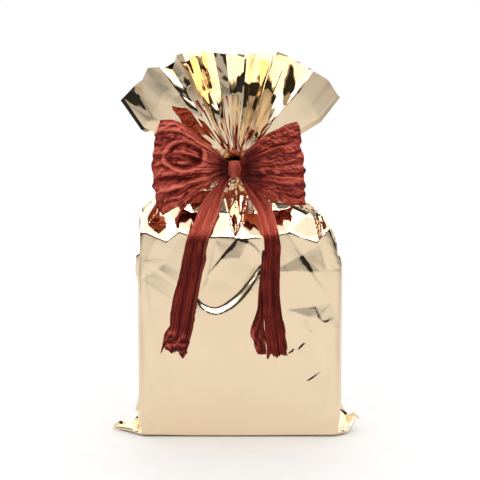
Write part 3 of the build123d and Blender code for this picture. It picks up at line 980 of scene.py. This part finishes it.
def ribbon(node, grids, hangs=False):
    """A ribbon piece from grids of points, with painted shade and highlight carried into its colour."""
    V, F, _ = shell([(G, grid_normals(G), True) for G in grids], PAPER)
    weaves_and_shade = []
    for G in grids:
        along = np.linalg.norm(np.diff(G, axis=0), axis=-1).mean(1)
        across = np.linalg.norm(np.diff(G, axis=1), axis=-1).mean(0)
        along, across = (np.concatenate([[0], np.cumsum(steps)]) for steps in (along, across))
        # how far each point stands out becomes painted shade in the creases and painted highlight on the
        # ridges
        relief = relief_of(G)
        # a hanging tail gets a painted highlight from about 200 mm up where it slopes, and painted shade over
        # all of it
        if hangs:
            relief += TAIL_PAINTED_HIGHLIGHT * smooth(G[..., 2], 199, 212) - TAIL_PAINTED_SHADE
        # painted shade round the knot
        near = np.exp(-((G[..., 0] - KNOT_X) ** 2 + (G[..., 2] - KNOT_Z) ** 2) / DEEP_REACH ** 2)
        weave_and_shade = np.broadcast_arrays(across, along[:, None], relief - DEEP_SHADE * near)
        weaves_and_shade += [np.stack(weave_and_shade, -1).reshape(-1, 3)] * 2
    return make(node + "_ribbon", node, "red_ribbon", V, [F], weave_and_shade=np.concatenate(weaves_and_shade))


LOOP_Y, LOOP_FORWARD = -26.0, 10.5  # the loops' middle at the knot, and how much further forward it gets


def loop_grid(top, bottom, bulge, depth, seed, crater=None):
    """A bow loop: the ribbon goes out from the knot, turns at its outer end and comes back behind itself."""
    rows, cols = ((230, 170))
    noise, second = Noise(seed), Noise(seed + 50)
    s = np.linspace(0, 2, rows)[:, None] * np.ones((1, cols))
    v = np.linspace(0, 1, cols)[None] * np.ones((rows, 1))
    r = np.clip(1 - np.abs(1 - s) ** 1.6, 0, 1) ** 0.9
    T, B = through(top, r), through(bottom, r)
    shrink = 1 - 0.06 * smooth(s, 1.0, 1.4)
    mid = 0.5 + (v - 0.5) * shrink
    xz = B + (T - B) * mid[..., None]
    outward = np.sign(top[-1][0] - top[0][0])
    edge = smooth(r, 0.72, 1.0)
    xz[..., 0] += outward * edge * (bulge * (1 - (2 * v - 1) ** 2) + 1.6 * noise(v * 17, s * 0 + 3))
    wide = np.abs(T - B).max(-1)
    turn = np.sign(1 - s) * np.abs(np.cos(np.pi * r / 2)) ** 0.55
    puff = smooth(r, 0.0, 0.4)
    y = LOOP_Y - LOOP_FORWARD * puff - (depth / 2) * puff * turn * (0.75 + 0.25 * (1 - (2 * v - 1) ** 2))
    # pleats run out from the knot, and the ribbon between them is crumpled into long flat facets
    rng = np.random.default_rng(seed)
    pleat = creased(s[:, 0] / 2, v, 9, 5, rng)
    flat = creased(s[:, 0] / 2, v, 15, 18, rng) + 0.35 * creased(s[:, 0] / 2, v, 31, 44, rng)
    wave = np.sin(np.pi * r) ** 0.5
    crushed = noise.facets(v * 9 + 0.5 * pleat, r * 6 + v * 2.3) + 0.5 * second.facets(v * 19 - r * 3, r * 14)
    crushed += 0.2 * noise.facets(v * 41 + r * 9, r * 31)
    relief = 3.2 * pleat * (0.45 + 0.55 * smooth(wide, 12, 50)) + 1.3 * flat * (0.35 + 0.65 * wave)
    relief += 1.5 * crushed * smooth(r, 0.15, 0.6)
    fade = smooth(r, 0.0, 0.12)
    y = y + np.where(s < 1, -1.0, 1.0) * relief * fade
    xz[..., 1] += 0.9 * noise(v * 9 + 20, r * 7) * fade
    if crater:
        (cx, cz), (ax, az), dip = crater
        q = np.hypot((xz[..., 0] - cx) / ax, (xz[..., 1] - cz) / az) + 0.14 * noise.facets(v * 9, r * 9 + 30)
        rim = np.exp(-((q - 1.06) / 0.13) ** 2)
        y = y + (s < 1) * (dip * (1 - smooth(q, 0.72, 1.0)) - 1.3 * rim)
    return np.stack([xz[..., 0], y, xz[..., 1]], -1)


def build_loops():
    """Both loops; their edges are listed from the knot outwards as (x, z)."""
    left = loop_grid(
        top=[(-10, 277), (-18, 284), (-25, 292), (-34, 300), (-50, 313), (-64, 321), (-76, 321)],
        bottom=[(-10, 264), (-19, 264), (-32, 256), (-46, 247), (-56, 239), (-65, 234), (-77, 228)],
        bulge=9.0, depth=14.0, seed=21, crater=((-54, 286), (19, 15), 6.0))
    right = loop_grid(
        top=[(-1, 277), (3, 284), (9, 294), (21, 304), (33, 311), (46, 316), (55, 319)],
        bottom=[(-1, 264), (5, 259), (15, 252), (28, 246), (40, 241), (52, 237), (64, 238)],
        bulge=2.5, depth=13.0, seed=34)
    bend(ribbon("left_loop", [left]), "bag", "left_loop", (-11, 0, 0), (-19, 0, 0))
    bend(ribbon("right_loop", [right]), "bag", "right_loop", (1, 0, 0), (9, 0, 0))


def tail_grid(left, right, seed, rows, depth, folds):
    """A hanging strip between two edge lines of (x, y, z) points, folded lengthwise."""
    cols = 72
    noise = Noise(seed)
    u = np.linspace(0, 1, rows)[:, None] * np.ones((1, cols))
    v = np.linspace(0, 1, cols)[None] * np.ones((rows, 1))
    L, R = through(left, u[:, 0])[:, None], through(right, u[:, 0])[:, None]
    G = L + (R - L) * v[..., None]
    rng = np.random.default_rng(seed)
    pleat = creased(u[:, 0], v, folds, 3, rng)
    flat = creased(u[:, 0], v, 2 * folds, 11, rng) + 0.4 * creased(u[:, 0], v, 5 * folds, 30, rng)
    G[..., 1] -= depth * (0.7 * pleat + 0.12 * flat)
    G[..., 0] += 0.8 * noise(u * 16, v * 2 + 40) * (np.abs(2 * v - 1) ** 2)
    return G, u, v, noise


TAIL_CUT = 211.0  # height where a tail is cut into its two bodies


def hang_tail(side, G, root, strands=()):
    """Makes a tail's two pieces. root holds two points for a bend of the upper one that bend() doesn't make.
    """
    k = np.argmin(np.abs(G[..., 2].mean(1) - TAIL_CUT))
    upper, lower = side + "_tail_upper", side + "_tail_lower"
    bend(ribbon(upper, [G[:k + 1]], hangs=True), "bag", upper, *root)
    bend(ribbon(lower, [G[k:], *strands], hangs=True), upper, lower, (0, 0, 210), (0, 0, 196))


def build_tails():
    rows = 200
    G, u, v, noise = tail_grid(
        left=[(-16, -20, 266), (-21, -20.5, 258), (-31, -21.5, 246), (-38.5, -23.5, 236), (-42, -26.5, 226),
              (-49.5, -35.5, 206), (-54, -34, 190), (-64, -33, 146), (-71, -33, 111), (-75.5, -34, 92)],
        right=[(-9, -20, 264), (-12, -20.5, 257), (-16, -21.5, 246), (-18.5, -23.5, 236), (-22, -26.5, 226),
               (-30.5, -35.5, 206), (-33, -34, 190), (-41, -33, 146), (-47, -33, 111), (-54, -34, 84)],
        seed=60, rows=rows, depth=4.4, folds=5)
    curl = smooth(u, 0.88, 0.95)  # the end is crushed and turns forward
    crush = 3.0 * noise.facets(v * 4, u * 34) + 1.5 * noise.facets(v * 9, u * 70) + 2.5 * (1 - v)
    G[..., 1] -= curl * crush
    G[..., 0] += curl * (2.0 * noise.facets(v * 2 + 9, u * 26) - 3.0 * (1 - v))
    G[..., 2] += smooth(u, 0.90, 1.0) * (3.0 * noise(v * 5 + 11, u * 3) + 2.0 * noise(v * 16, u * 22))
    hang_tail("left", G, ((-14, -22, 264), (-18, -26, 252)))

    G, u, v, noise = tail_grid(
        left=[(-2, -20, 265), (4, -21, 252), (8, -22, 244), (16, -25, 231), (20, -30, 218),
              (23.5, -35.5, 206), (24, -34, 190), (23, -33, 174), (23.5, -33, 146), (24, -33, 118),
              (27, -34, 84)],
        right=[(4, -20, 265), (14, -21, 254), (22, -22, 247), (31.5, -25, 231), (36, -30, 218),
               (39, -35.5, 206), (40, -34, 190), (40, -33, 172), (40, -33, 146), (43, -33, 112),
               (47, -35, 86)],
        seed=71, rows=rows, depth=4.2, folds=4)
    curl = smooth(u, 0.88, 1.0)
    G[..., 1] -= curl * 2.0 * np.abs(noise(v * 4, u * 5 + 3))
    G[..., 2] += curl * (2.5 * noise(v * 6 + 11, u * 2) + 1.5 * noise(v * 18, u * 3))
    # a narrow strand splits off on its left and hangs beside it
    strand, *_ = tail_grid(
        left=[(21.5, -31, 190), (20, -30.5, 160), (18.5, -30.5, 146), (17, -31, 126), (11, -31, 107),
              (15, -31, 97), (18, -31, 86)],
        right=[(26, -31, 190), (25, -30.5, 160), (24, -30.5, 146), (24, -31, 126), (24, -31, 107),
               (25, -31, 97), (26, -31, 86)],
        seed=83, rows=rows // 2, depth=1.2, folds=4)
    hang_tail("right", G, ((1, -22, 264), (6, -26, 252)), [strand])


BAND_INNER = 11.8  # radius of the band's inner side
BAND_TUCK, BAND_RISE = 5.0, 3.5  # how far that side goes into the neck, and up along it


def turns(rows, cols, ends=(0.0, 2 * np.pi)):
    """Angles along and round a tube, without the column that would repeat the first."""
    along = np.linspace(*ends, rows)[:, None] * np.ones((1, cols - 1))
    return along, np.linspace(0, 2 * np.pi, cols)[None, :-1] * np.ones((rows, 1))


def build_knot():
    """The knot is a short wrap of ribbon whose folds run up and down."""
    noise, second = Noise(91), Noise(92)
    t, a = turns(60, 120, (0.02 * np.pi, 0.98 * np.pi))
    half = (KNOT_HIGH - KNOT_LOW) / 2
    ca, sa = np.cos(a), np.sin(a)
    bump = 1.1 * (second.ridges(np.abs(ca) * 4 + sa * 2 + 8, t * 0.9) - 0.4)
    bump += 0.5 * noise(ca * 9 + 20, t * 4 + sa * 5)
    radius = np.sin(t) ** 0.45
    x = KNOT_X + (half[0] * radius + bump * 0.8 * radius) * ca
    y = KNOT_Y + (half[1] * 1.15 * radius + bump * radius) * sa + 0.4  # its back rests on the band
    z = KNOT_Z - (half[2] - 0.5 + 1.5 * (t > np.pi / 2)) * np.sign(np.cos(t)) * np.abs(np.cos(t)) ** 0.8
    closed_tube("bow_knot", np.stack([x, y, z], -1))


def build_band():
    """The band goes round the neck behind the knot."""
    noise, second = Noise(91), Noise(92)
    p, a = (angle[:-1] for angle in turns(40, 200))
    centre = (BAND_LOW + BAND_HIGH) / 2
    width = (BAND_HIGH[2] - BAND_LOW[2]) / 2
    pinch = 0.85 + 0.15 * noise(np.cos(a) * 3 + 20, np.sin(a) * 3 + 20)
    fold = 0.9 * (second.ridges(p * 2.1, np.cos(a) * 3 + np.sin(a) * 2 + 9) - 0.4)
    tucked = (1 - np.cos(p)) / 2  # its inner side presses into the pleats, deepest at the front and back
    ring = BAND_INNER + 1.7 + (1.5 + fold) * np.cos(p) - BAND_TUCK * tucked * (0.25 + 0.75 * np.sin(a) ** 2)
    z = centre[2] + width * pinch * np.sin(p) + BAND_RISE * tucked * np.maximum(np.sin(p), 0)
    G = np.stack([centre[0] + ring * np.cos(a), centre[1] + ring * np.sin(a), z], -1)
    closed_tube("neck_band", G, torus=True)


def closed_tube(node, G, torus=False):
    """A closed solid from a grid of rings. Its ends are capped unless it is a torus."""
    V = G.reshape(-1, 3)
    idx = np.arange(len(V)).reshape(G.shape[:2])
    right = np.roll(idx, -1, 1)
    quads = np.stack([idx, right, np.roll(right, -1, 0), np.roll(idx, -1, 0)], -1)
    # the attribute's third value is a flat level of painted shade and highlight: the band is painted darker
    # and the knot lighter
    if torus:  # the last ring joins the first
        faces = [quads.reshape(-1, 4)]
        weave_and_shade = np.stack([V[:, 2], V[:, 0], np.full(len(V), 0.25)], -1)
    else:
        low, high = np.full(len(idx[0]), len(V)), np.full(len(idx[0]), len(V) + 1)
        caps = np.stack([low, right[0], idx[0]], -1), np.stack([high, idx[-1], right[-1]], -1)
        faces = [quads[:-1].reshape(-1, 4), *caps]
        V = np.vstack([V, G[0].mean(0), G[-1].mean(0)])
        weave_and_shade = np.stack([V[:, 0] - V[:, 1], V[:, 2], np.full(len(V), 0.75)], -1)
    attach(make(node + "_ribbon", node, "red_ribbon", V, faces, weave_and_shade=weave_and_shade), "bag")


# ---------------------------------------------------------------- floor, light and camera

FLOOR_SIZE = 7.0  # metres
FLOOR_REACH = 2.2  # metres out, where the floor's painted pool of light, seen only in reflections, is at half its strength
# brightness round the bag by height, from 0 straight down over 0.5 level to 1 straight up
ROOM = [(0.0, 0.5), (0.495, 0.5), (0.505, 0.03), (0.59, 0.02), (0.625, 0.4), (0.65, 2.4), (0.77, 2.3),
        (0.86, 1.35), (0.93, 1.0), (1.0, 0.9)]
WALL = [(0.0, 0.8), (0.52, 0.8), (0.58, 1.6), (1.0, 1.2)]
WHITE = (1.0, 1.0, 1.0, 1.0)
TARGET, DISTANCE, ABOVE = Vector((0.0, 0.0, 0.196)), 2.0, math.radians(10)
LENS, SENSOR = 150, 36


def build_floor():
    """A white floor to the camera. In the bag's reflections its colour is a painted pool of light that falls
    off with distance.
    """
    bpy.ops.mesh.primitive_plane_add(size=FLOOR_SIZE)
    floor = bpy.context.object
    floor.name = "floor"
    material, n, shader = new_material("floor")
    place = n.place()
    length = n.tree.nodes.new("ShaderNodeVectorMath")
    length.operation = "LENGTH"
    n.put(length.inputs[0], n.stretch(place, (3.0, 1.0, 1.0)))
    far = n.math("POWER", n.math("DIVIDE", length.outputs["Value"], FLOOR_REACH), 2.5)
    lit = n.math("DIVIDE", 1.0, n.math("ADD", far, 1.0))
    seen = n.add("ShaderNodeLightPath").outputs["Is Camera Ray"]
    white = n.ramp(n.noise(place, 40.0, 3.0), [(0.3, 0.74), (0.7, 0.76)])
    dim = n.mix(lit, (0.02, 0.02, 0.02, 1), (0.64, 0.64, 0.64, 1))
    n.fill(shader, Base_Color=n.mix(seen, dim, white), Roughness=0.55)
    floor.data.materials.append(material)


def build_world():
    """A dark room with bright lights above in front, and a bright wall behind. The camera sees only white."""
    world = bpy.data.worlds.new("studio")
    bpy.context.scene.world = world
    world.use_nodes = True
    world.node_tree.nodes.clear()
    n = Nodes(world.node_tree)
    axes = n.add("ShaderNodeSeparateXYZ", Vector=n.add("ShaderNodeTexCoord").outputs["Generated"]).outputs
    height = n.math("MULTIPLY_ADD", axes["Z"], 0.5, 0.5)
    behind = n.math("MULTIPLY_ADD", axes["Y"], 2.5, -0.125, clamp=True)
    light = n.mix(behind, n.ramp(height, ROOM), n.ramp(height, WALL))
    seen = n.add("ShaderNodeLightPath").outputs["Is Camera Ray"]
    sky = n.add("ShaderNodeBackground", Color=n.mix(seen, light, WHITE))
    n.add("ShaderNodeOutputWorld", Surface=sky.outputs[0])


def build_camera():
    scene = bpy.context.scene
    camera = bpy.data.objects.new("camera", bpy.data.cameras.new("camera"))
    scene.collection.objects.link(camera)
    camera.data.lens, camera.data.sensor_width = LENS, SENSOR
    camera.location = TARGET + DISTANCE * Vector((0, -math.cos(ABOVE), math.sin(ABOVE)))
    camera.rotation_euler = (TARGET - camera.location).to_track_quat("-Z", "Y").to_euler()
    scene.camera = camera
    scene.view_settings.view_transform = "Standard"


build_bag()
build_loops()
build_tails()
build_knot()
build_band()
for node in ("carton_tray", "carton_lid"):
    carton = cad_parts[node]
    carton.data.materials.clear()
    carton.data.materials.append(MATERIALS["carton_board"])
build_floor()
build_world()
build_camera()
